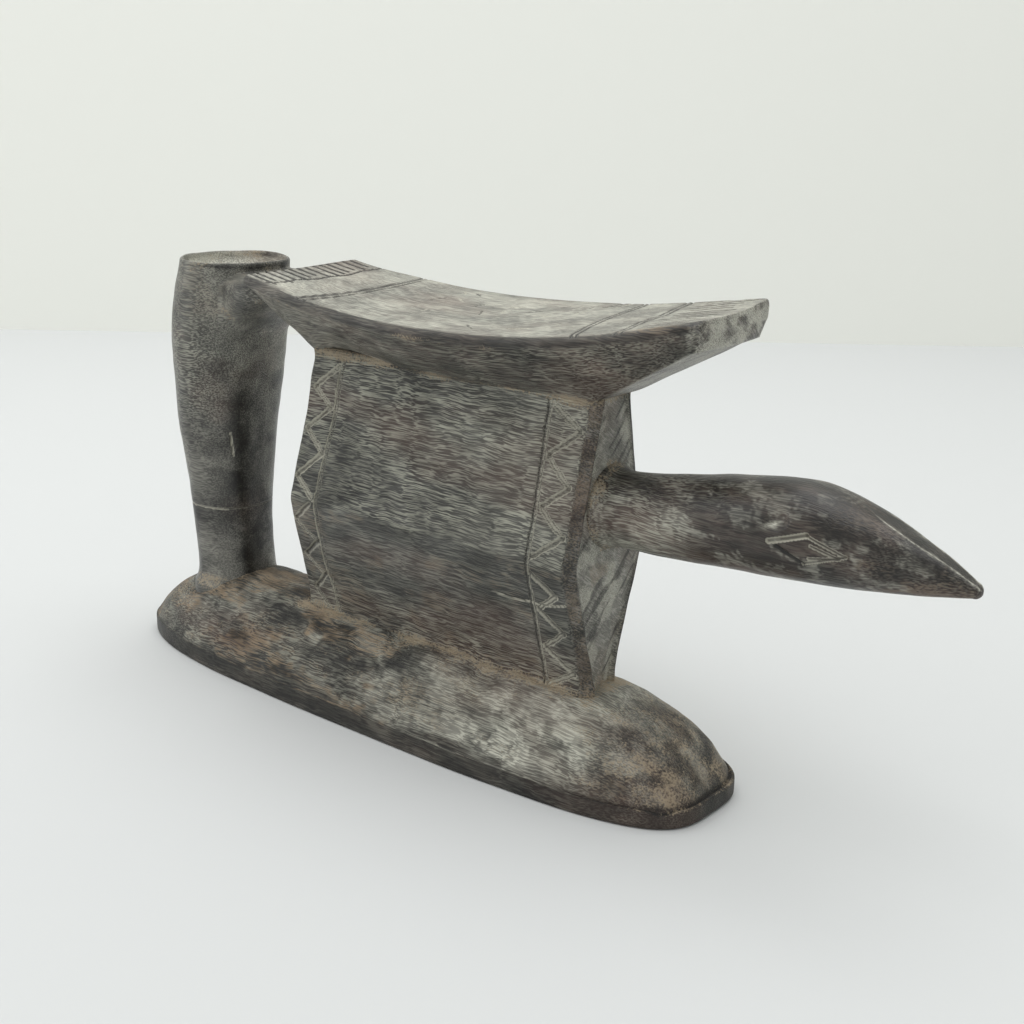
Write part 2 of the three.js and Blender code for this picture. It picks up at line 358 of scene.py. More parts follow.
for inward in np.linspace(0, 1, 82)[:-1] ** 1.35:
    share = start * (1 - inward)
    base = rim_here * (1 - inward) + RIM * inward + dome(1 - inward, endward, edge_x)
    base = base + 0.2 * ledge * (1 - inward)
    rings.append(np.stack([edge_x * share, edge_y * share, base], -1))
rings = np.array(rings)
on_dome = soft(RIM, RIM + 3, rings[..., 2])
strength = 0.6 + 0.75 * soft(-60, 30, rings[..., 0]) - soft(90, 112, rings[..., 0])
strokes = lumps(rings * (1, 0.25, 0.25), 9.5, 23) * strength
strokes = strokes + 0.3 * lumps(rings, 6, 24) + 0.1 * lumps(rings, 2.6, 25)
rings[..., 2] += on_dome * strokes
rings[..., 1] += np.sign(rings[..., 1]) * on_dome * strokes * 0.5 * soft(1, 8, np.abs(rings[..., 1]))
wobble = 0.3 * lumps(edge, 24, 21)
rings[3:, :, 0] += edge_x / 130 * wobble
rings[3:, :, 1] += np.sign(edge_y) * wobble * soft(0, 6, np.abs(edge_y))
chip = np.exp(-(((rings[..., 0] - 124) / 3.0) ** 2 + ((rings[..., 1] + 21) / 3.2) ** 2))
rings[..., 2] -= 1.8 * chip * soft(2, 4, rings[..., 2])
foot, foot_shape = skin("domed_foot", rings), rings.shape[:2]

# %% [markdown]
# ## The handle post
#
# The post is round, sways a little and swells towards its top, where a shallow dish is cut. Its
# upper part is tied to the pillow's end by a mass of wood that fairs from one to the other.
# Both belong to one surface, so the post is a stack of level slices around its axis, and the tie
# is simply where those slices reach further towards the pillow.

# %% Post: radius, axis and tie
post_radius = curve_through((14, 16.2), (26, 14.7), (38, 14.3), (50, 14.7), (66, 15.9), (86, 18.1),
                            (105, 20.1), (124, 21.6), (138, 21.0), (150, 19.6))
post_axis = curve_through((14, -91.6), (34, -92.2), (50, -93.2), (66, -93.7), (86, -94), (105, -93.2),
                          (124, -91), (138, -88.9), (150, -86.9))
TIE_TO = -46.5  # how far along X the tie reaches, inside the pillow's end
POST_TOP, DISH_DEPTH = 150.0, 9.4


def tie_reach(angle, z):
    """How far the tie stands out of the round post at an angle from +X and a height."""
    turn = np.abs((angle + math.pi) % (2 * math.pi) - math.pi)
    radius = post_radius(z)
    to_plane = (TIE_TO - post_axis(z)) / np.cos(np.clip(turn, 0, 0.62)) - radius
    across = 1 - soft(0.30, 0.98, turn)
    rise = soft(121, 143, z) ** 1.3
    ceiling = 147.2 - 5.5 * soft(0.5, 1.3, turn)
    return np.clip(to_plane, 0, None) * across * rise * (1 - soft(ceiling - 2.2, ceiling, z))


# %% Post
around = np.linspace(0, 2 * math.pi, 220, endpoint=False)
around = around - 0.22 * np.sin(around)  # closer steps on the side that carries the tie
heights = np.concatenate([spaced(17, 54, 0.8), spaced(54.3, 59, 0.25), spaced(59.6, 112, 0.7),
                          spaced(112.5, 139, 0.5), spaced(139.3, 148.8, 0.3)])
grid_z, grid_a = np.meshgrid(heights, around, indexing="ij")
knife = 0.42 * np.cos(5 * (grid_a + 0.70)) * (1 - 0.7 * soft(100, 130, grid_z))
root = 1.5 * fade(grid_z - 25, 2.4)
radius = post_radius(grid_z) + knife + root + tie_reach(grid_a, grid_z)
rings = np.stack([post_axis(grid_z) + radius * np.cos(grid_a), radius * np.sin(grid_a), grid_z], -1)
spread = 0.45 * lumps(rings, 15, 31) + 0.15 * lumps(rings, 5, 32)
rings[..., 0] += spread * np.cos(grid_a)
rings[..., 1] += spread * np.sin(grid_a)
lip_x, lip_y = rings[-1, :, 0] - post_axis(POST_TOP), rings[-1, :, 1]
lip_wave = 0.5 * lumps(np.stack([lip_x, lip_y, 0 * lip_x], -1), 11, 33)


def lip_ring(scale, height):
    """The lip's outline, drawn in or out around the post's axis."""
    return np.stack([post_axis(POST_TOP) + lip_x * scale, lip_y * scale, height], -1)


top = [lip_ring(scale, height + lip_wave) for scale, height in (
    (0.998, 149.2), (0.990, 149.7), (0.978, 149.95), (0.962, 150.0), (0.948, 149.9), (0.936, 149.5))]
for turn in np.linspace(0.03, 0.97, 22) * math.pi / 2:
    scale, height = 0.93 * math.cos(turn) ** 0.9, 149.2 - DISH_DEPTH * math.sin(turn) ** 1.1
    ring = lip_ring(scale, height + lip_wave * scale)
    ring[:, 2] += 0.5 * lumps(ring, 5, 34)
    top.append(ring)
post = skin("handle_post_and_tie", np.concatenate([rings, np.array(top)]))

# %% [markdown]
# ## The pillow
#
# The pillow is the board that the neck lies on: a shallow saddle with a thin upright edge, whose
# flanks run down and in to the top of the block. Cross-sections along its length describe it
# best. They are close together on the top face, which carries the incised lines, and wider
# underneath. Both ends are closed by sections that draw together, so that the ends are carved
# faces and not flat caps.

# %% Pillow: measures along its length
LIP_DEPTH, LIP_RISE = 2.3, 2.4  # the rounded lip round the top, across and down
pillow_half = curve_through((-51, 27.4), (-20, 28.8), (22, 29.2), (66, 27.4), (100, 24.2), (113, 22.7),
                            (120, 21.3), (123.5, 19.9), (125, 18.4))
pillow_tilt = curve_through((-51, 0.2), (-8, 1.4), (22, 1.7), (61, 2.0), (100, 1.8), (125, 1.2))
keel_height = curve_through((-51, 146.4), (-46, 140.5), (-40, 132.5), (-33, 124), (-20, 123.2),
                            (30, 122.9), (70, 123.2), (84, 124), (98, 131.3), (112, 139), (125, 145.6))
keel_half = curve_through((-51, 25), (-44, 20.5), (-38, 14.5), (-33, 10.9), (20, 10.6), (84, 10.9),
                          (98, 13), (112, 15.2), (125, 17))


def saddle(x):
    return 143.7 + (x - 23.0) ** 2 / 850


def pillow_sections(x):
    half, tilt, top = pillow_half(x), pillow_tilt(x), saddle(x)
    keel, keel_y = keel_height(x), keel_half(x)
    columns = []
    for side in (1, -1):
        edge = top + side * tilt
        lip = np.maximum(edge - LIP_RISE - 0.3, keel + 0.4)
        flank = []
        for t in np.linspace(0, 1, 24)[1:]:
            bow = 0.55 * np.sin(math.pi * t) * (half - keel_y) / 17
            flank.append((side * (keel_y + (half - keel_y) * t + bow), keel + (lip - keel) * t - bow))
        rim = []
        for t in np.radians((8, 22, 36, 50, 64, 78)):
            rise = np.minimum(LIP_RISE, edge - lip)
            rim.append((side * (half - LIP_DEPTH * (1 - math.cos(t))), edge - rise * (1 - math.sin(t))))
        columns.append(flank + rim)
    across = np.linspace(1, -1, 168)[1:-1]
    face = [((half - LIP_DEPTH + 0.1) * s, top + tilt * s * (1 - LIP_DEPTH / half) - 0.3 * (1 - s * s))
            for s in across]
    under = [(keel_y * s, keel + 0 * top) for s in np.linspace(-1, 1, 14)]
    outline = columns[0] + face + columns[1][::-1] + under
    return np.stack([np.stack([x, y, z], -1) for y, z in outline], axis=1)


# %% Pillow
along = np.concatenate([spaced(-50.6, -36, 0.42), spaced(-35.4, 76, 0.8), spaced(76.5, 124.6, 0.5)])
rings = pillow_sections(along)
middle = np.stack([along, 0 * along, 0.45 * keel_height(along) + 0.55 * saddle(along)], -1)
closing = np.linspace(0.1, 0.98, 14)


def close_end(ring, centre, swell, seed, depth):
    """Draws a section together into a low crown, with an adze's facets on the face."""
    crown = (ring[:, 0].max() if swell > 0 else ring[:, 0].min()) + swell
    drawn = []
    for t in closing:
        shrink, lift = math.cos(t * math.pi / 2) ** 0.83, math.sin(t * math.pi / 2) ** 0.83
        section = centre + (ring - centre) * (1, shrink, shrink)
        section[:, 0] = ring[:, 0] + (crown - ring[:, 0]) * lift
        cut = facets(section[:, 1] / 24, (section[:, 2] - centre[2]) / 10, 0.4, depth, 14, seed)
        section[:, 0] += np.sign(swell) * cut * soft(0, 0.5, t)
        drawn.append(section)
    return drawn


right_swell = 2.6
lean = 0.5 * soft(112, 125, along)[:, None] * np.clip(151.5 - rings[..., 2], 0, 6)
rings[..., 0] -= lean
rings[..., 0] += right_swell * soft(112, 125, along)[:, None] * (1 - (rings[..., 1] / 24) ** 2)
nose = close_end(rings[-1], middle[-1] + (right_swell - 1.5, 0, 0), 0.5, 41, 0.25)
butt = close_end(rings[0], middle[0] + (0, 0, 1.5), -0.4, 42, 0.15)
rings = np.concatenate([np.array(butt[::-1]), rings, np.array(nose)])
under_face = 1 - soft(-1.5, 0.5, rings[..., 2] - saddle(rings[..., 0]))
spread = 0.5 * lumps(rings * (0.5, 1, 1), 14, 43) + 0.18 * lumps(rings * (0.6, 1, 1), 5, 44)
rings[..., 1] += np.sign(rings[..., 1]) * spread * under_face * soft(3, 8, np.abs(rings[..., 1]))
rings[..., 2] += 0.22 * lumps(rings, 19, 45)
pillow = skin("curved_pillow", rings)

# %% [markdown]
# ## The neck and head
#
# The bird is one long bar: an oval neck that leaves the block with a small flare, thickens to
# the crown and tapers to a blunt beak whose back is pared to one long flat. Sections along X
# follow it, and they square up towards the tip.

# %% Neck and head: measures along its length
head_top = curve_through((78, 101.8), (95, 102.6), (113, 105.2), (131, 108.5), (148, 111.1),
                         (156.5, 111.5), (165, 110.1), (173, 107.6), (181, 104.5), (189, 100.7),
                         (197, 97.0), (205, 92.6))
head_bottom = curve_through((78, 78.6), (97, 78.8), (110, 79.2), (124, 80.3), (142, 81.7), (159, 83),
                            (175, 84.9), (191, 87), (205, 89.6))
head_half = curve_through((78, 11.4), (92, 11.1), (100, 11.0), (112, 11.6), (130, 12.8), (146, 13.8),
                          (157, 13.6), (170, 11.6), (184, 8.2), (196, 4.8), (205, 2.2))
flat_half = curve_through((160, 0), (168, 0.8), (178, 3.3), (188, 3.4), (197, 2.4), (205, 1.2))


def head_sections(x, around):
    grid_x, a = np.meshgrid(x, around, indexing="ij")
    c, s = np.cos(a), np.sin(a)
    power = 1 - 0.2 * soft(150, 185, grid_x)
    top, bottom = head_top(grid_x), head_bottom(grid_x)
    root = 2.2 * fade(grid_x - 87, 2.2)
    half = head_half(grid_x) + root
    tall = (top - bottom) / 2 + root * 0.8
    y = half * np.sign(c) * np.abs(c) ** power
    z = (top + bottom) / 2 + tall * np.sign(s) * np.abs(s) ** power
    reach = np.clip(flat_half(grid_x) / half, 0, 0.9) ** (2 / power)
    z = np.minimum(z, (top + bottom) / 2 + tall * np.sqrt(1 - reach) ** power)
    return np.stack([grid_x, y, z], -1)


# %% Neck and head
around = np.linspace(0, 2 * math.pi, 280, endpoint=False)
along = np.concatenate([spaced(79, 127, 0.8), spaced(127.4, 146.6, 0.4), spaced(146.9, 173, 0.25),
                        spaced(173.6, 203.4, 0.65)])
rings = head_sections(along, around)
tip = [rings[-1].mean(0) + (rings[-1] - rings[-1].mean(0)) * (1, math.cos(t), math.cos(t))
       + (2.0 * math.sin(t), 0, -0.4 * math.sin(t)) for t in np.linspace(0.15, 1.45, 8)]
rings = np.concatenate([rings, np.array(tip)])
centre = rings.mean(1, keepdims=True)
outward = (rings - centre) / np.linalg.norm(rings - centre, axis=-1, keepdims=True)
spread = 0.4 * lumps(rings * (0.5, 1, 1), 12, 51) + 0.13 * lumps(rings * (0.6, 1, 1), 4.5, 52)
rings = rings + outward * spread[..., None] * (1 - 0.6 * soft(195, 205, rings[..., :1]))
head = skin("neck_and_head_carved", rings)

MEMBERS = [(foot, "foot"), (post, "handle_post"), (block, "block"), (pillow, "pillow"),
           (head, "neck_and_head")]

# %% [markdown]
# ## Incised lines
#
# A carver scratches a pair of guide lines along each upright edge of the block, then cuts a row
# of zigzags between them and the edge. The same knife made the comb of cuts at the pillow's end
# and the lines across its top. All of these follow a rule and lie on a surface, so Geometry
# Nodes do both jobs: one tree draws a zigzag from its count, its width and a little unevenness,
# and another presses any drawn line into a surface as a groove with a V section. The groove
# tree looks at a point and at the line along one direction only, as if the pattern were a
# stencil held in front of the face. It stores how deep each point went, scaled by how dark the
# groove is to be painted, as `cut`, and a second number for how pale the cut wood is and how
# much painted light the groove's flanks get.


# %% Node helpers
def new_tree(name, inputs):
    tree = bpy.data.node_groups.new(name, "GeometryNodeTree")
    tree.interface.new_socket("Geometry", in_out="INPUT", socket_type="NodeSocketGeometry")
    for label, kind, value in inputs:
        socket = tree.interface.new_socket(label, in_out="INPUT", socket_type="NodeSocket" + kind)
        if value is not None:
            socket.default_value = value
    tree.interface.new_socket("Geometry", in_out="OUTPUT", socket_type="NodeSocketGeometry")
    return tree


def add(tree, kind, links=None, **settings):
    """Adds a node, sets its properties and links or sets its inputs by name or number."""
    node = tree.nodes.new(kind)
    for key, value in settings.items():
        setattr(node, key, value)
    for key, value in (links or {}).items():
        socket = node.inputs[key]
        if isinstance(value, bpy.types.NodeSocket):
            tree.links.new(value, socket)
        else:
            socket.default_value = value
    return node


def maths(tree, operation, *values, kind="ShaderNodeMath"):
    node = add(tree, kind, dict(enumerate(values)), operation=operation)
    return node.outputs["Value" if operation == "DOT_PRODUCT" else 0]


def vectors(tree, operation, *values):
    return maths(tree, operation, *values, kind="ShaderNodeVectorMath")


def scaled(tree, vector, factor):
    node = add(tree, "ShaderNodeVectorMath", {0: vector, "Scale": factor}, operation="SCALE")
    return node.outputs[0]


def between(tree, factor, first, second):
    node = add(tree, "ShaderNodeMix", {"Factor": factor, 4: first, 5: second}, data_type="VECTOR")
    return node.outputs[1]


def random_vector(tree, seed, low, high):
    node = add(tree, "FunctionNodeRandomValue", {"Seed": seed, 0: low, 1: high}, data_type="FLOAT_VECTOR")
    return node.outputs[0]


def close_tree(tree, geometry):
    """Ends a tree: instances become real, the material slot is set and the result goes out."""
    made = add(tree, "GeometryNodeRealizeInstances", {"Geometry": geometry})
    named = add(tree, "GeometryNodeSetMaterial", {"Geometry": made.outputs[0]})
    tree.links.new(named.outputs[0], add(tree, "NodeGroupOutput").inputs[0])
    print(f"{tree.name}: {len(tree.nodes)} nodes")


def run_tree(piece, tree, **values):
    """Runs a tree on a piece with its inputs set, and leaves the result as a plain mesh."""
    modifier = piece.modifiers.new(tree.name, "NODES")
    modifier.node_group = tree
    for item in tree.interface.items_tree:
        if item.item_type == "SOCKET" and item.in_out == "INPUT" and item.name in values:
            modifier[item.identifier] = values[item.name]
    bpy.context.view_layer.update()
    depsgraph = bpy.context.evaluated_depsgraph_get()
    result = bpy.data.meshes.new_from_object(piece.evaluated_get(depsgraph), depsgraph=depsgraph)
    piece.modifiers.remove(modifier)
    old, piece.data = piece.data, result
    bpy.data.meshes.remove(old)
    return piece


# %% [markdown]
# ### A tree that draws zigzags
#
# It makes a row of points from a start to an end, pushes every second point to one side, shakes
# them a little from a fixed seed, and keeps the edges between them. Every second stroke of the
# real zigzag is a broad chip and the others are pairs of thin cuts, so the tree can keep only
# the odd or only the even strokes.

# %% Zigzag tree
zigzag = new_tree("zigzag strokes", [
    ("Corners", "Int", 7), ("Inner Start", "Vector", None), ("Inner End", "Vector", None),
    ("Outer Start", "Vector", None), ("Outer End", "Vector", None), ("Shake", "Float", 0.0006),
    ("Seed", "Int", 1), ("Stroke", "Int", 0)])
tin = add(zigzag, "NodeGroupInput").outputs
row = add(zigzag, "GeometryNodeMeshLine", {"Count": tin["Corners"]}, mode="OFFSET")
number = add(zigzag, "GeometryNodeInputIndex").outputs[0]
share = maths(zigzag, "DIVIDE", number, maths(zigzag, "SUBTRACT", tin["Corners"], 1.0))
inner = between(zigzag, share, tin["Inner Start"], tin["Inner End"])
outer = between(zigzag, share, tin["Outer Start"], tin["Outer End"])
odd = maths(zigzag, "MODULO", number, 2.0)
chosen = between(zigzag, odd, inner, outer)
shaken = scaled(zigzag, random_vector(zigzag, tin["Seed"], (-1, -1, -1), (1, 1, 1)), tin["Shake"])
placed = add(zigzag, "GeometryNodeSetPosition", {
    "Geometry": row.outputs[0], "Position": vectors(zigzag, "ADD", chosen, shaken)})
edge_parity = maths(zigzag, "MODULO", add(zigzag, "GeometryNodeInputIndex").outputs[0], 2.0)
wanted = maths(zigzag, "COMPARE", edge_parity, tin["Stroke"], 0.5)
unwanted = maths(zigzag, "SUBTRACT", 1.0, wanted)
kept = add(zigzag, "GeometryNodeDeleteGeometry", {"Geometry": placed.outputs[0], "Selection": unwanted},
           domain="EDGE", mode="EDGE_FACE")
close_tree(zigzag, kept.outputs[0])

# %% [markdown]
# ### A tree that draws a comb
#
# The comb is one short cut, repeated. The tree places a line of points from the first cut to the
# last, puts a short line on each, and shakes their places and lengths a little.

# %% Comb tree
comb = new_tree("comb of cuts", [
    ("Cuts", "Int", 15), ("First", "Vector", None), ("Last", "Vector", None), ("Cut", "Vector", None),
    ("Shake", "Float", 0.0004), ("Seed", "Int", 1)])
cin = add(comb, "NodeGroupInput").outputs
row = add(comb, "GeometryNodeMeshLine", {"Count": cin["Cuts"], "Start Location": cin["First"],
                                         "Offset": cin["Last"]}, mode="END_POINTS")
stroke = add(comb, "GeometryNodeMeshLine", {"Count": 9, "Offset": cin["Cut"]}, mode="END_POINTS")
shaken = scaled(comb, random_vector(comb, cin["Seed"], (-2, -1, 0), (2, 1, 0)), cin["Shake"])
uneven = add(comb, "GeometryNodeSetPosition", {"Geometry": row.outputs[0], "Offset": shaken})
size = add(comb, "FunctionNodeRandomValue", {"Seed": cin["Seed"], 2: 0.82, 3: 1.12}, data_type="FLOAT")
cuts = add(comb, "GeometryNodeInstanceOnPoints", {
    "Points": uneven.outputs[0], "Instance": stroke.outputs[0], "Scale": size.outputs[1]})
close_tree(comb, cuts.outputs[0])

# %% [markdown]
# ### A tree that cuts a groove
#
# For each point of the surface the tree flattens the point and the drawing along one direction,
# measures the distance to the nearest stroke, and pushes the point in by an amount that falls
# to nothing at the groove's edge. A little noise in the distance keeps the edge from looking
# machined.

# %% Groove tree
groove = new_tree("cut a groove", [
    ("Drawing", "Object", None), ("Keep", "Vector", (1, 0, 1)), ("Facing", "Vector", (0, -1, 0)),
    ("Width", "Float", 0.0005), ("Depth", "Float", 0.0004), ("Wander", "Float", 0.0002),
    ("Stain", "Float", 1.0), ("Chalk", "Float", 0.0), ("Limit", "Float", 0.6)])
gin = add(groove, "NodeGroupInput").outputs
drawing = add(groove, "GeometryNodeObjectInfo", {"Object": gin["Drawing"]}, transform_space="ORIGINAL")
place = add(groove, "GeometryNodeInputPosition").outputs[0]
flat_place = vectors(groove, "MULTIPLY", place, gin["Keep"])
flat_drawing = add(groove, "GeometryNodeSetPosition", {
    "Geometry": drawing.outputs["Geometry"], "Position": flat_place})
rough = add(groove, "ShaderNodeTexNoise", {"Vector": place, "Scale": 380.0, "Detail": 1.0})
away = vectors(groove, "SUBTRACT", rough.outputs["Color"], (0.5, 0.5, 0.5))
away = vectors(groove, "MULTIPLY", scaled(groove, away, gin["Wander"]), gin["Keep"])
probe = vectors(groove, "ADD", flat_place, away)
nearest = add(groove, "GeometryNodeProximity", {0: flat_drawing.outputs[0], "Sample Position": probe},
              target_element="EDGES")
ratio = maths(groove, "DIVIDE", nearest.outputs["Distance"], gin["Width"])
profile = maths(groove, "MAXIMUM", maths(groove, "SUBTRACT", 1.0, ratio), 0.0)
normal = add(groove, "GeometryNodeInputNormal").outputs[0]
faces_it = vectors(groove, "DOT_PRODUCT", normal, gin["Facing"])
faces_it = maths(groove, "GREATER_THAN", faces_it, gin["Limit"])
depth = maths(groove, "MULTIPLY", profile, faces_it)
inward = maths(groove, "MULTIPLY", depth, maths(groove, "MULTIPLY", gin["Depth"], -1.0))
push = scaled(groove, normal, inward)
marked = gin["Geometry"]
touched = maths(groove, "GREATER_THAN", depth, 0.02)
# The first number is depth times how dark the groove is painted; the second is the cut's paleness and the
# painted light on its flanks.
for key, value in (("cut", maths(groove, "MULTIPLY", depth, gin["Stain"])),
                   ("chalk", maths(groove, "MULTIPLY", touched, gin["Chalk"]))):
    earlier = add(groove, "GeometryNodeInputNamedAttribute", {"Name": key}, data_type="FLOAT")
    kept = maths(groove, "MAXIMUM", earlier.outputs[0], value)
    marked = add(groove, "GeometryNodeStoreNamedAttribute", {
        "Geometry": marked, "Name": key, "Value": kept}, data_type="FLOAT", domain="POINT").outputs[0]
pressed = add(groove, "GeometryNodeSetPosition", {"Geometry": marked, "Offset": push})
close_tree(groove, pressed.outputs[0])

# %% [markdown]
# ### Drawing and cutting
#
# A drawing is a mesh of bare edges. Those that follow a rule come from the trees above, and the
# few free scratches are typed as short rows of points. Every drawing is flattened the same way
# as the face that it is pressed into, and thrown away afterwards.


# %% Press a drawing into a piece
def empty_drawing():
    drawn = bpy.data.objects.new("drawing", bpy.data.meshes.new("drawing"))
    bpy.context.collection.objects.link(drawn)
    return drawn


def free_lines(*rows):
    """Bare edges through rows of points, in millimetres."""
    drawn = empty_drawing()
    points, edges = [], []
    for row_points in rows:
        start = len(points)
        points += [tuple(v * MM for v in p) for p in row_points]
        edges += [(start + i, start + i + 1) for i in range(len(row_points) - 1)]
    drawn.data.from_pydata(points, edges, [])
    return drawn


def press(piece, drawn, keep, facing, width, depth, wander=0.25, chalk=0.0, limit=0.6, darken=1.0):
    """Cuts a drawing into a piece. One number sets the cut's paleness and the painted light on its flanks,
    another how dark the groove is painted.
    """
    run_tree(piece, groove, Drawing=drawn, Keep=keep, Facing=facing, Width=width * MM,
             Depth=depth * MM, Wander=wander * MM, Stain=darken, Chalk=chalk, Limit=limit)
    bpy.data.objects.remove(drawn)


for piece, _ in MEMBERS:
    for key in ("cut", "chalk"):
        paint(piece, key, np.zeros(len(piece.data.vertices)))
# The rows tucked in under the rim at the beak's end get a painted dark line through the cut marks: painted
# shade in the undercut.
undercut = np.zeros(foot_shape)
undercut[LEDGE_ROWS] = ledge
paint(foot, "cut", np.append(undercut, [0, 0]))


# %% Borders and zigzags on the block
CHIP, SCRATCH = (1.2, 0.85), (0.55, 0.45)  # half-width and depth of a broad chip and a thin stroke
THIN_PAIR = (-0.65, 0.65)  # how far the two thin strokes lie above and below their line
CORNERS = 7
ALONG_Y = (1, 0, 1)  # the drawings on upright faces are flattened along Y


def guide_lines(side, marks, *border_line):
    """The pair of scratched guide lines beside a zigzag: one firm, one light."""
    for (shift, width, depth), chalk in zip(((-0.1, 0.58, 0.6), (1.3, 0.40, 0.35)), marks):
        line = [(x + shift, 0, z) for x, z in border_line]
        press(block, free_lines(line), ALONG_Y, (0, side, 0), width, depth, 0.9, chalk)


def zigzag_row(side, seed, inner, outer, heights, chip, chalk):
    """Seven corners from the border line to the edge and back, with broad and thin strokes."""
    for stroke, (width, depth), lifts in ((chip, CHIP, (0,)), (1 - chip, SCRATCH, THIN_PAIR)):
        for lift in lifts:
            top, bottom = ((height + lift) * MM for height in heights)
            drawn = run_tree(empty_drawing(), zigzag, **{
                "Corners": CORNERS, "Seed": seed, "Stroke": stroke, "Shake": 0.0008,
                "Inner Start": (inner[0] * MM, 0, top), "Inner End": (inner[1] * MM, 0, bottom),
                "Outer Start": (outer[0] * MM, 0, top), "Outer End": (outer[1] * MM, 0, bottom)})
            press(block, drawn, ALONG_Y, (0, side, 0), width, depth, 1.3, chalk)


for side, seed in ((-1, 5), (1, 8)):
    guide_lines(side, (0.8, 0.3), (-19.4, 123), (-22, 92), (-24.4, 72), (-26.3, 50), (-25.4, 29))
    zigzag_row(side, seed, (-20.4, -25.4), (-31.3, -34.6), (121.0, 74.5), 0, 0.9)
    zigzag_row(side, seed + 20, (-26.6, -28.0), (-36.4, -34.4), (73.0, 29.0), 0, 0.6)
    guide_lines(side, (0.15, 0.65), (69.4, 123.5), (69.9, 92), (69.6, 60), (69.2, 43), (69.9, 29))
    zigzag_row(side, seed + 40, (72.4, 71.4), (82.2, 82.0), (122.5, 75.5), 1, 0.72)
    zigzag_row(side, seed + 60, (71.8, 71.0), (80.0, 82.2), (71.0, 29.5), 0, 0.8)
stray = [(54.0, 0, 59.4), (60, 0, 58.8), (68, 0, 59.4), (77, 0, 60.0), (83.4, 0, 61.6)]
press(block, free_lines(stray), ALONG_Y, (0, -1, 0), 0.42, 0.25, 0.4, 0.97)
print("block:", len(block.data.vertices), "points after its borders")

# %% Comb and lines on the pillow
TOP, DOWN = (1, 1, 0), (0, 0, 1)


def across_top(line, width, depth, wander, *shifts):
    rows = [[(x + shift, y, 0) for x, y in line] for shift in shifts]
    press(pillow, free_lines(*rows), TOP, DOWN, width, depth, wander, limit=0.85)


drawn = run_tree(empty_drawing(), comb, **{
    "Cuts": 15, "First": (-0.0535, -0.0244, 0), "Last": (-0.0535, 0.0262, 0), "Cut": (0.0140, 0.0006, 0),
    "Shake": 0.0004, "Seed": 4})
press(pillow, drawn, TOP, DOWN, 0.72, 0.6, 0.3, limit=0.85, darken=0.75)
across_top([(-41, -25), (-39.2, -19), (-40, -13), (-38.2, -6), (-38.5, 2), (-37, 9), (-38.6, 17),
            (-37.2, 27)], 0.6, 0.5, 1.2, 0)
across_top([(-24.4, -29), (-21.6, -16), (-19.7, -4), (-18.6, 10), (-17.8, 29)], 0.75, 0.7, 0.3, 0)
across_top([(-21.2, -29), (-18.8, -16), (-17.2, -4), (-16.4, 10), (-15.7, 29)], 0.6, 0.6, 0.3, 0)
across_top([(88.5, -28), (84.2, -20), (81.2, -10), (79.2, 2), (78.2, 15), (78.6, 30)],
           0.55, 0.5, 0.4, 0, 1.9)
across_top([(101.5, -26), (99.4, -16), (97.6, -6), (98.6, 3), (96.6, 12), (95.2, 25)],
           0.6, 0.45, 1.3, 0, 2.1)
drawn = run_tree(empty_drawing(), comb, **{
    "Cuts": 14, "First": (0.1055, -0.0200, 0), "Last": (0.1040, 0.0205, 0), "Cut": (0.0165, 0.0002, 0),
    "Shake": 0.0005, "Seed": 6})
press(pillow, drawn, TOP, DOWN, 0.5, 0.25, 0.5, 0.2, limit=0.85, darken=0.6)
rng = np.random.default_rng(47)
nicks, fine_nicks, count = [], 13, 22
for x, y, turn, length in zip(rng.uniform(0, 74, count), rng.uniform(-20, 22, count),
                              rng.uniform(0.3, 2.6, count), rng.uniform(2, 7, count)):
    nicks.append([(x, y, 0), (x + length * math.cos(turn), y + length * math.sin(turn), 0)])
press(pillow, free_lines(*nicks[:fine_nicks]), TOP, DOWN, 0.45, 0.3, 0.9, 1.0, limit=0.85)
press(pillow, free_lines(*nicks[fine_nicks:]), TOP, DOWN, 0.7, 0.35, 1.6, limit=0.85, darken=0.6)
print("pillow:", len(pillow.data.vertices), "points after its cuts")

# %% Eyes on the head
LEFT, PEAK, RIGHT, LOW = (148.9, 0, 96.2), (160.0, 0, 100.0), (171.4, 0, 95.9), (159.4, 0, 91.7)
INNER_CORNER = (169.6, 0, 95.0)
THIN = (0.60, 0.5, 0.15, 0.7)  # half-width, depth, wander, and paleness and painted flank light of the eye's thin strokes
for side in (-1, 1):
    face = (ALONG_Y, (0, side, 0))
    press(head, free_lines([LEFT, PEAK]), *face, 1.0, 0.95, 0.15, 0.92)
    press(head, free_lines([PEAK, RIGHT], [(161.6, 0, 97.4), INNER_CORNER]), *face, *THIN)
    press(head, free_lines([(150.9, 0, 95.6), LOW]), *face, 0.85, 0.8, 0.3)
    press(head, free_lines([LOW, RIGHT], [(161.2, 0, 93.6), INNER_CORNER]), *face, *THIN)
    press(head, free_lines([(149.8, 0, 101.6), (151.8, 0, 102.8)]), *face, 3.0, 1.5, 0.2, darken=0.0)
print("head:", len(head.data.vertices), "points after its eyes")

# %% Scratches on the post
for low, facing, chalk in ((56.5, (-0.4, -0.9, 0), 1.0), (56.9, (1, 0, 0), 0.3)):
    drawn = free_lines([(0, 0, low), (1, 0, low)])
    press(post, drawn, (0, 0, 1), facing, 0.42, 0.35, 0.7, chalk, limit=0.45)
dash = [(0, -11.6, 87.0), (0, -11.0, 83.0), (0, -10.1, 78.0)]
press(post, free_lines(dash), (0, 1, 1), (1, 0, 0), 0.38, 0.4, 0.5, 1.0, limit=0.3)
print("post:", len(post.data.vertices), "points after its ring and dash")
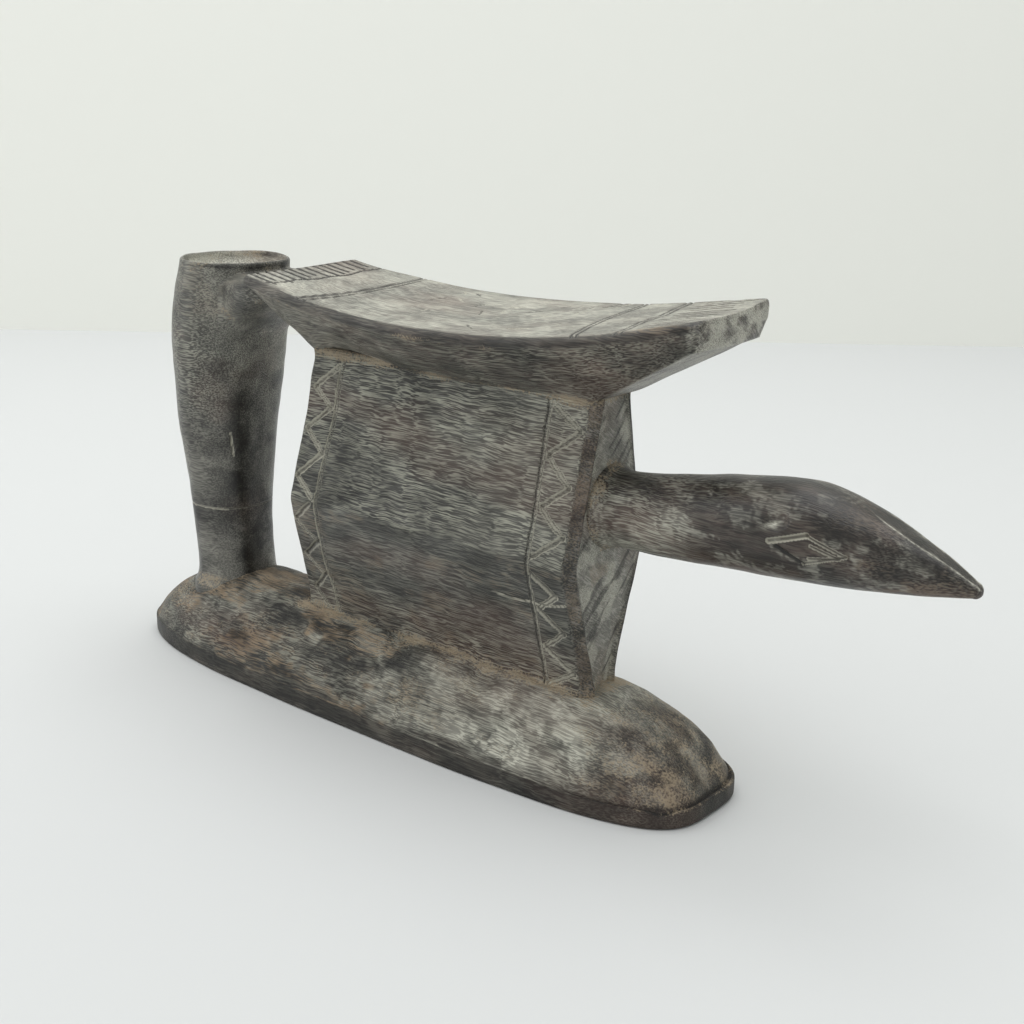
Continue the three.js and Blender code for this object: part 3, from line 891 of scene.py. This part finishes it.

# %% [markdown]
# ## Where age shows, and where light and shade are painted
#
# The wood is one finish, but its age does not show evenly. Ochre dust fills the creases, hands have
# polished the pillow's lip, the head and the post, and broad areas have gone pale, tan or dull.
# Some pale and black marks are painted light and shade: paler upper facets on the block and, in
# part, its paler ends, a paler top on the pillow, paler sides and darker shade on the post,
# painted highlights on the head, and painted shade in the foot's undercut. The finish reads all of
# this as numbers stored on the points: how much `dust`, how `pale`, how `tan` or `black`, how
# strongly the `fibre` shows, how much it is polished (`shine`), and where an `adze` crossed the end
# grain. `cut`, and the cut's paleness and painted flank light, are already there, from the groove
# tree. Distances to the creases, the direction of each face, soft ranges along the object and
# seeded patches decide the numbers.


# %% Marks
MARKS = ("dust", "pale", "tan", "fibre", "shine", "adze", "black")


def mark(piece, **values):
    """Stores every mark on a piece; those that are left out are nothing."""
    for key in MARKS:
        value = values.get(key, 0.0)
        paint(piece, key, np.broadcast_to(value, len(piece.data.vertices)))
    print(f"{piece.name}: {', '.join(values)}")


def near(distance, reach):
    return np.exp(-((np.clip(distance, 0, None) / reach) ** 1.5))


def patches(points, size, low, high, seed, stretch=0.5):
    """Ragged patches from 0 to 1, about `size` across, and drawn out along the grain."""
    cover = lumps(points * (stretch, 1, 1), size, seed) + 0.4 * lumps(points, size / 3, seed + 1)
    return soft(low, high, cover)


FOOTPRINT_X, FOOTPRINT_HALF = (-42, 87), 10.8


def from_block(p):
    """Level distance to the block's footprint on the foot."""
    dx = np.maximum(np.maximum(FOOTPRINT_X[0] - p[:, 0], p[:, 0] - FOOTPRINT_X[1]), 0)
    return np.hypot(dx, np.maximum(np.abs(p[:, 1]) - FOOTPRINT_HALF, 0))


def from_ring(p, centre_x, radius):
    return np.abs(np.hypot(p[:, 0] - centre_x, p[:, 1]) - radius)


# %% Marks on the foot
p, n = points_of(foot), normals_of(foot)
x, y, z = p.T
up, band = soft(0.15, 0.5, n[:, 2]), soft(7.6, 6.0, z)
end_grain = np.clip(soft(0.5, 0.85, np.abs(n[:, 0])) + soft(92, 108, x), 0, 1)
worn = np.exp(-(((x - 74) / 22) ** 2 + ((y + 25) / 12) ** 2) ** 2)
flakes = patches(p, 9, 0.0, 0.3, 85, 0.35) * soft(60, 0, x)
creases = np.maximum(near(from_block(p), 2.0), 0.4 * near(from_ring(p, -91.5, 15.2), 1.0)) * (z > 15)
dryness = (0.03 + 0.33 * soft(-10, 60, x) * (1 - end_grain) + 0.35 * patches(p, 6, 0.1, 0.5, 83)
           + 1.15 * worn * patches(p, 4, -0.2, 0.25, 81, 0.8)
           + 0.25 * end_grain * patches(p, 4, -0.1, 0.5, 82, 1))
soot = (0.85 * patches(p, 8, 0.0, 0.4, 88) * soft(50, 0, x) + 0.12 * soft(0, -60, x)
        + 0.42 * end_grain * patches(p, 5, -0.3, 0.2, 92, 1) * soft(0, 60, x)
        + 0.35 * patches(p, 5, 0.0, 0.5, 90))
mark(foot, dust=creases + 0.26 * end_grain * up * soft(60, 90, x) + 0.10 * up,
     pale=(1 - band) * up * dryness,
     tan=up * (flakes + 0.4 * end_grain),
     fibre=0.3 + 0.45 * up * (1 - end_grain),
     shine=0.5 * soft(-90, -120, x) + 0.4 * patches(p, 12, 0.1, 0.5, 87),
     black=0.5 * band + up * soot)

# %% Marks on the post
p = points_of(post)
x, y, z = p.T
inside = (z > 137) * soft(18.9, 18.2, np.hypot(x + 86.9, y))
angle = np.arctan2(y, x - post_axis(z))
low_post = soft(118, 96, z) * (1 - inside)
# Painted light and shade: the post's left side is painted paler for the lamp on the left, and its right edge
# for the wall's reflection; below the pillow the side facing the block is painted darker, with a darker band
# where it turns to the block, and the hollow under the pillow's end is painted dark.
mark(post, dust=0.4 * near(z - 28.4, 0.7) + 0.25 * patches(p, 6, 0.1, 0.6, 91) * soft(116, 134, z),
     pale=0.08 + 0.12 * patches(p, 14, -0.2, 0.5, 93) + 0.12 * soft(-97, -112, x)
     + 0.16 * soft(95, 120, z) * patches(p, 8, -0.5, 0.2, 94) + 0.7 * inside
     + 0.25 * soft(0.0, 0.25, angle) * soft(1.2, 0.5, angle),
     tan=0.15 * patches(p, 9, 0.1, 0.5, 95) * soft(95, 125, z)
     + 0.3 * inside * patches(p, 6, 0.0, 0.4, 97),
     fibre=0.25 + 0.45 * soft(62, 115, z) - 0.5 * inside,
     shine=0.9 - 0.4 * soft(95, 130, z),
     # painted shade on the side facing the block, then dark patches, a band round the scratched ring,
     # painted shade in the hollow under the pillow's end, and a dark line at the lip
     black=0.75 * np.exp(-(((angle + 0.5) / 0.24) ** 2)) * low_post
     + 0.5 * soft(-0.6, -0.4, angle) * low_post + 0.4 * patches(p, 7, 0.0, 0.5, 98)
     + 0.6 * soft(42, 48, z) * soft(62, 56, z) + 0.5 * soft(-80, -70, x) * soft(124, 131, z)
     + 0.8 * near(np.abs(z - 149.0), 0.6) * (1 - inside))

# %% Marks on the block
p, n = points_of(block), normals_of(block)
x, y, z = p.T
long_face = soft(0.5, 0.8, np.abs(n[:, 1])) * (1 - on_strip)
upper = soft(RIDGE - 2, RIDGE + 1, z + 1.5 * lumps(p, 9, 100))
lower = long_face * (1 - upper)
neck_root = np.hypot(y, (z - 90.5) * 0.88) - 12.0
along, across = adze_axes(y, z)
cracks = soft(0.35, 0.6, lumps(np.stack([0 * along, along / 7, across], -1), 1.5, 107))
mark(block, dust=np.maximum.reduce([near(124.2 - z, 1.2), near(z - 29, 1.6),
                                    0.6 * near(neck_root, 1.4) * (x > 84), 0.07 * on_strip]),
     # Painted light: the upper facets of the long faces are painted paler, more so towards the right where
     # the front light reflects; the ends are paler for dusty end grain and for painted light from the right.
     pale=long_face * upper * (0.02 + 0.22 * soft(-10, 80, x) + 0.10 * patches(p, 13, -0.2, 0.5, 101))
     + (0.34 + 0.45 * patches(p, 7, -0.2, 0.3, 103)) * on_block_end + 0.1 * on_strip + 0.06 * lower,
     tan=0.45 * on_strip + 0.35 * (1 - upper) * patches(p, 8, 0.1, 0.4, 105) + 0.3 * near(z - 29, 7),
     # The upper facets also show stronger fibres, partly as painted light.
     fibre=long_face * (0.36 + (0.6 - 0.14 * soft(30, -20, x)) * upper + 0.35 * soft(48, 36, z)) + 0.12,
     shine=lower * soft(36, 52, z) * 0.9,
     adze=np.clip(on_block_end + 0.7 * on_strip, 0, 1),
     black=0.75 * cracks * on_block_end + 0.55 * on_strip * patches(p, 5, -0.3, 0.4, 108, 1)
     # painted shade on the lower facets, just under the ridge
     + 0.12 * lower * soft(38, 52, z))

# %% Marks on the pillow
p, n = points_of(pillow), normals_of(pillow)
x, y, z = p.T
edge = saddle(x) + np.sign(y) * pillow_tilt(x)
face_up = soft(0.88, 0.96, n[:, 2]) * soft(LIP_DEPTH - 1.2, LIP_DEPTH - 0.2, pillow_half(x) - np.abs(y))
on_lip = (1 - face_up) * soft(3.6, 2.6, edge - z) * soft(0.6, 0.4, n[:, 0])
on_nose = soft(0.3, 0.6, n[:, 0]) * soft(84, 100, x)
corner = np.exp(-(((x - 112) / 12) ** 2 + ((y + 21.0) / 1.8) ** 2)) * (n[:, 2] > 0.2)
under_lip = near(np.abs(edge - z - 3.4), 0.9) * (x < 60)
mark(pillow, dust=near(np.abs(z - 124.4), 1.2) * (np.abs(y) < 14)
     + 0.5 * under_lip * patches(p, 5, -0.1, 0.4, 111) * (1 - face_up),
     # The top face is painted paler, standing in for the overhead light and the wall's reflection on it.
     pale=face_up * (0.36 + 0.42 * patches(p, 7, -0.3, 0.5, 113))
     + 0.9 * on_nose * patches(p, 3, -0.7, 0.1, 115) + 0.04
     + 0.26 * (1 - face_up) * patches(p, 10, -0.4, 0.4, 119) * soft(30, -20, x),
     tan=0.8 * corner + 0.1 * (1 - face_up) * patches(p, 9, 0.1, 0.5, 117),
     fibre=0.74 - 0.25 * face_up - 0.45 * on_lip,
     shine=0.5 + 0.4 * on_lip,
     adze=on_nose,
     black=0.7 * on_lip + 0.1 * (1 - face_up) * (1 - on_nose) + 0.45 * on_nose * soft(2.4, 0.8, edge - z))

# %% Marks on the head
p, n = points_of(head), normals_of(head)
x, y, z = p.T
neck = soft(128, 112, x)
# Painted highlights: a bright line along the edge of the beak's flat, partly wear, and a bright spot on the
# dent above the eye.
flat_edge_highlight = near(np.abs(np.abs(y) - flat_half(x)), 0.4) * soft(172, 178, x) * (n[:, 2] > 0.3)
dent_highlight = np.exp(-(((x - 149.6) / 2.4) ** 2 + ((z - 100.9 - 0.3 * (x - 149.6)) / 1.0) ** 2))
mark(head, dust=0.7 * near(x - 88.3, 1.5),
     pale=neck * (0.12 + 0.25 * patches(p, 8, -0.2, 0.4, 121)) * soft(0.75, 0.3, n[:, 2])
     + 0.4 * patches(p, 3, 0.2, 0.6, 123) + 1.0 * dent_highlight + 0.9 * flat_edge_highlight,
     tan=0.35 * soft(150, 190, x) * patches(p, 5, 0.0, 0.4, 125),
     fibre=0.25 + 0.55 * neck,
     shine=0.8 - 0.45 * neck,
     black=0.65 * soft(118, 150, x) * soft(-0.2, 0.5, n[:, 2]) * (1 - flat_edge_highlight) * (1 - dent_highlight)
     + 0.6 * neck * soft(0.45, 0.7, n[:, 2]) + 0.25 * soft(120, 150, x) * (1 - dent_highlight))

# %% [markdown]
# ## The wood
#
# One recipe makes the wood of every member, with a tint and a gloss for each. All its patterns
# read Object coordinates, and every piece sits at the origin, so the grain is one continuous body
# that the carving cuts through, as in the real block: long wavy fibres where a face runs along X,
# and dots where a face cuts across it. The same trick would fail with a flat picture, which would
# need a seam at each member.

# %% Shader helpers
def mapped(tree, scale, offset=(0, 0, 0), turn=(0, 0, 0)):
    where = add(tree, "ShaderNodeTexCoord").outputs["Object"]
    if any(turn):
        where = add(tree, "ShaderNodeMapping", {"Vector": where, "Rotation": turn}).outputs[0]
    node = add(tree, "ShaderNodeMapping", {"Vector": where, "Scale": scale, "Location": offset})
    return node.outputs[0]


def ramp(tree, value, *stops):
    node = add(tree, "ShaderNodeValToRGB", {"Fac": value})
    band = node.color_ramp
    while len(band.elements) < len(stops):
        band.elements.new(0.5)
    for element, (position, colour) in zip(band.elements, stops):
        element.position = position
        element.color = (*colour, 1) if len(colour) == 3 else colour
    return node.outputs["Color"]


def grey(v):
    return (v, v, v)


def step(tree, value, low, high, start=0, end=1):
    """A grey step: `start` up to `low`, then a straight change to `end` at `high`."""
    return ramp(tree, value, (low, grey(start)), (high, grey(end)))


def blend(tree, factor, first, second, mode="MIX"):
    node = add(tree, "ShaderNodeMix", data_type="RGBA", blend_type=mode, clamp_factor=True)
    for socket, value in ((node.inputs[0], factor), (node.inputs[6], first), (node.inputs[7], second)):
        if isinstance(value, bpy.types.NodeSocket):
            tree.links.new(value, socket)
        else:
            socket.default_value = value if isinstance(value, (int, float)) else (*value, 1)
    return node.outputs[2]


def stored(tree, name):
    return add(tree, "ShaderNodeAttribute", attribute_name=name).outputs["Fac"]


# %% The dark wood
def noise(tree, place, detail=2.0, scale=1.0):
    node = add(tree, "ShaderNodeTexNoise", {"Vector": place, "Scale": scale, "Detail": detail})
    return node.outputs["Fac"], node.outputs["Color"]


def bent(tree, scale, bend, reach):
    """Object coordinates stretched along the fibres and pushed sideways by slow bends."""
    push = vectors(tree, "MULTIPLY", bend, (0.0, reach, reach))
    return vectors(tree, "ADD", mapped(tree, scale), push)


def times(tree, *values):
    product = values[0]
    for value in values[1:]:
        product = maths(tree, "MULTIPLY", product, value)
    return product


def plus(tree, *values):
    total = values[0]
    for value in values[1:]:
        total = maths(tree, "ADD", total, value)
    return total


BLACK, TAN, PALE_AND_LIT_FLANK = (0.006, 0.005, 0.004), (0.300, 0.225, 0.150), (0.46, 0.44, 0.36)
DRY_AND_LIT, REDDISH, OCHRE = (0.56, 0.55, 0.47), (0.120, 0.055, 0.036), (0.35, 0.28, 0.19)
SCORED, FIBRE_DARK, FIBRE_LIGHT = (0.36, 0.34, 0.315), (0.25, 0.25, 0.20), (0.48, 0.48, 0.395)


def dark_wood(name, gloss, tint):
    """The wood's one finish, with the tint and the gloss that age has given each member."""
    material = bpy.data.materials.new(name)
    material.use_nodes = True
    tree = material.node_tree
    tree.nodes.clear()
    dust, pale, tan, fibre, shine, adze, black = (stored(tree, key) for key in MARKS)
    cut, chalk = stored(tree, "cut"), stored(tree, "chalk")

    # Slow bends, then fibres at two sizes, long in X and fine across it.
    bend = noise(tree, mapped(tree, (75, 60, 60)))[1]
    fine = noise(tree, bent(tree, (140, 3500, 3500), bend, 8.0), 0.0)[0]
    coarse = noise(tree, bent(tree, (95, 2250, 2250), bend, 5.2), 1.0)[0]
    clouds = noise(tree, mapped(tree, (50, 85, 85)), 4.0)[0]
    mottle = noise(tree, mapped(tree, (70, 150, 150), (2, 5, 1)), 4.0)[0]
    broad = noise(tree, mapped(tree, (14, 30, 30), (3, 1, 2)), 3.0)[0]
    grains = noise(tree, mapped(tree, (1300, 1300, 1300)), 2.0)[0]
    strokes = noise(tree, mapped(tree, (500, 260, 2300), turn=(0.6, 0, 0)), 2.0)[0]

    dark = ramp(tree, clouds, (0.36, [0.014 * t for t in tint]), (0.66, [0.085 * t for t in tint]))
    mixed = plus(tree, times(tree, fine, 0.45), times(tree, coarse, 0.55))
    streak, gap = step(tree, mixed, 0.47, 0.575), step(tree, mixed, 0.37, 0.465, 1, 0)
    streak_colour = ramp(tree, broad, (0.38, FIBRE_DARK), (0.66, FIBRE_LIGHT))
    colour = blend(tree, times(tree, streak, fibre, 0.85), dark, streak_colour)
    colour = blend(tree, times(tree, gap, plus(tree, times(tree, fibre, 0.4), 0.5)), colour, BLACK)
    scored = times(tree, step(tree, strokes, 0.50, 0.62), adze, 0.7)
    colour = blend(tree, scored, colour, SCORED)
    colour = blend(tree, 1.0, colour, step(tree, mottle, 0.38, 0.60, 0.46), "MULTIPLY")

    # Broad marks, broken up by the fibres and clouds so that none has a smooth edge.
    broken = plus(tree, times(tree, streak, 0.5), times(tree, mottle, 0.5), times(tree, clouds, 0.5))
    # Pale: dry, worn wood, and painted light where the pale mark stands in for it.
    dry_and_lit = times(tree, pale, broken)
    colour = blend(tree, dry_and_lit, colour, DRY_AND_LIT)
    flaked = plus(tree, times(tree, coarse, 0.6), times(tree, clouds, 0.4))
    bare = times(tree, tan, step(tree, flaked, 0.46, 0.56))
    colour = blend(tree, times(tree, bare, 0.85), colour, TAN)
    colour = blend(tree, times(tree, step(tree, broad, 0.52, 0.66), 0.3), colour, REDDISH)
    # Black: dark patches of the wood, and painted shade where the black mark stands in for it.
    black_breakup = plus(tree, times(tree, mottle, 0.6), times(tree, coarse, 0.4))
    black_and_shade = times(tree, black, step(tree, black_breakup, 0.40, 0.62, 1, 0.45))
    colour = blend(tree, black_and_shade, colour, BLACK)

    # Cuts with pale flanks get that pale colour and painted light on their flanks, and painted shade
    # at their bottom unless the flanks are strongly lit. The others are darker all over. Dust lies in
    # grains.
    flank = ramp(tree, cut, (0.03, grey(0)), (0.14, grey(1)), (0.45, grey(1)), (0.75, grey(0.3)))
    colour = blend(tree, times(tree, flank, chalk, plus(tree, times(tree, clouds, 0.8), 0.4)), colour, PALE_AND_LIT_FLANK)
    darkened_cut = times(tree, step(tree, cut, 0.12, 0.55), step(tree, chalk, 0.05, 0.30, 1, 0), 0.88)
    shaded_core = times(tree, step(tree, cut, 0.50, 0.78), step(tree, chalk, 0.50, 0.90, 1, 0), 0.6)
    colour = blend(tree, maths(tree, "MAXIMUM", darkened_cut, shaded_core), colour, BLACK)
    heap = plus(tree, times(tree, grains, 0.5), times(tree, mottle, 0.5), times(tree, dust, 0.15))
    settled = times(tree, step(tree, heap, 0.575, 0.67), step(tree, dust, 0.02, 0.20, 0, 0.68))
    colour = blend(tree, settled, colour, OCHRE)

    dull = maths(tree, "MAXIMUM", settled, bare)
    rough = plus(tree, gloss, times(tree, clouds, 0.20), times(tree, shine, -0.20), times(tree, dull, 0.3),
                 times(tree, dry_and_lit, 0.10))
    shader = add(tree, "ShaderNodeBsdfPrincipled", {
        "Base Color": colour, "Roughness": rough, "Specular IOR Level": 0.5, "IOR": 1.5})
    relief = plus(tree, times(tree, mixed, plus(tree, fibre, 0.25)), times(tree, clouds, 0.6),
                  times(tree, mottle, 0.4), times(tree, grains, plus(tree, times(tree, dust, 0.6), 0.12)),
                  times(tree, strokes, adze, 0.9))
    relief = times(tree, relief, plus(tree, 1.0, times(tree, shine, -0.65)))
    bump = add(tree, "ShaderNodeBump", {"Height": relief, "Strength": 0.85, "Distance": 0.0007})
    tree.links.new(bump.outputs[0], shader.inputs["Normal"])
    output = add(tree, "ShaderNodeOutputMaterial")
    tree.links.new(shader.outputs[0], output.inputs["Surface"])
    return material


woods = {
    "foot": dark_wood("foot_wood", 0.50, (1.18, 1.0, 0.82)),
    "handle_post": dark_wood("post_wood", 0.40, (1.08, 1.0, 0.93)),
    "block": dark_wood("block_wood", 0.48, (1.03, 1.02, 0.97)),
    "pillow": dark_wood("pillow_wood", 0.42, (1.45, 1.08, 0.92)),
    "neck_and_head": dark_wood("head_wood", 0.42, (1.35, 0.96, 0.80)),
}
for piece, node in MEMBERS:
    piece.data.materials.clear()
    piece.data.materials.append(woods[node])
print("woods:", sorted(woods))

# %% [markdown]
# ## Who rides on what
#
# Nothing on the headrest moves, so every member rides on the one body. Each carved surface
# stands for its plain solid, which is hidden.

# %% Ride and replace
for piece, node in MEMBERS:
    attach(piece, "root")
    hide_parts(node)

# %% [markdown]
# ## The stage
#
# A pale sheet lies under the headrest and runs back to a pale wall. A big soft lamp overhead
# gives the gentle light of a white room, and a weaker one on the left models the round post and
# the foot.


# %% Floor and wall
def plain(name, colour, roughness=0.9):
    material = bpy.data.materials.new(name)
    material.use_nodes = True
    shader = material.node_tree.nodes["Principled BSDF"]
    shader.inputs["Base Color"].default_value = (*colour, 1)
    shader.inputs["Roughness"].default_value = roughness
    shader.inputs["Specular IOR Level"].default_value = 0.2
    return material


FLOOR_Z = -0.0002
WALL_AT = 0.711  # the wall's distance behind the origin
WALL_TOP, SHEET_REACH = 3.0, 4.0
look = math.radians(AZIMUTH)
back, side = Vector((-math.sin(look), math.cos(look), 0)), Vector((math.cos(look), math.sin(look), 0))
paper, paint_coat = plain("floor_paper", (0.665, 0.675, 0.68)), plain("wall_paint", (0.865, 0.87, 0.825))


def strip_of(name, profile, material):
    """A wide sheet whose profile is given as distance towards the wall and height."""
    rows = [[back * far + side * across + Vector((0, 0, height)) for across in (-SHEET_REACH, SHEET_REACH)]
            for far, height in profile]
    points = [point for row in rows for point in row]
    faces = [(2 * i, 2 * i + 1, 2 * i + 3, 2 * i + 2) for i in range(len(rows) - 1)]
    mesh = bpy.data.meshes.new(name)
    mesh.from_pydata(points, [], faces)
    mesh.materials.append(material)
    made = bpy.data.objects.new(name, mesh)
    bpy.context.collection.objects.link(made)


strip_of("floor", [(-SHEET_REACH, FLOOR_Z), (WALL_AT, FLOOR_Z)], paper)
strip_of("wall", [(WALL_AT, FLOOR_Z), (WALL_AT, WALL_TOP)], paint_coat)


# %% Lamps
def lamp(name, size, power, place, target):
    data = bpy.data.lights.new(name, "AREA")
    data.shape, data.size, data.energy = "SQUARE", size, power
    made = bpy.data.objects.new(name, data)
    made.location = place
    made.rotation_euler = (Vector(target) - Vector(place)).to_track_quat("-Z", "Y").to_euler()
    bpy.context.collection.objects.link(made)


lamp("overhead", 1.4, 13, (-0.05, 0.05, 1.4), (0.03, 0, 0))
lamp("left", 1.2, 5, (-1.3, -0.7, 0.7), (0.0, 0, 0.07))
world = bpy.data.worlds.new("room")
world.use_nodes = True
world.node_tree.nodes["Background"].inputs["Color"].default_value = (0.93, 0.95, 0.93, 1)
world.node_tree.nodes["Background"].inputs["Strength"].default_value = 0.70
bpy.context.scene.world = world
bpy.context.scene.view_settings.view_transform = "Standard"
bpy.context.scene.view_settings.look = "None"
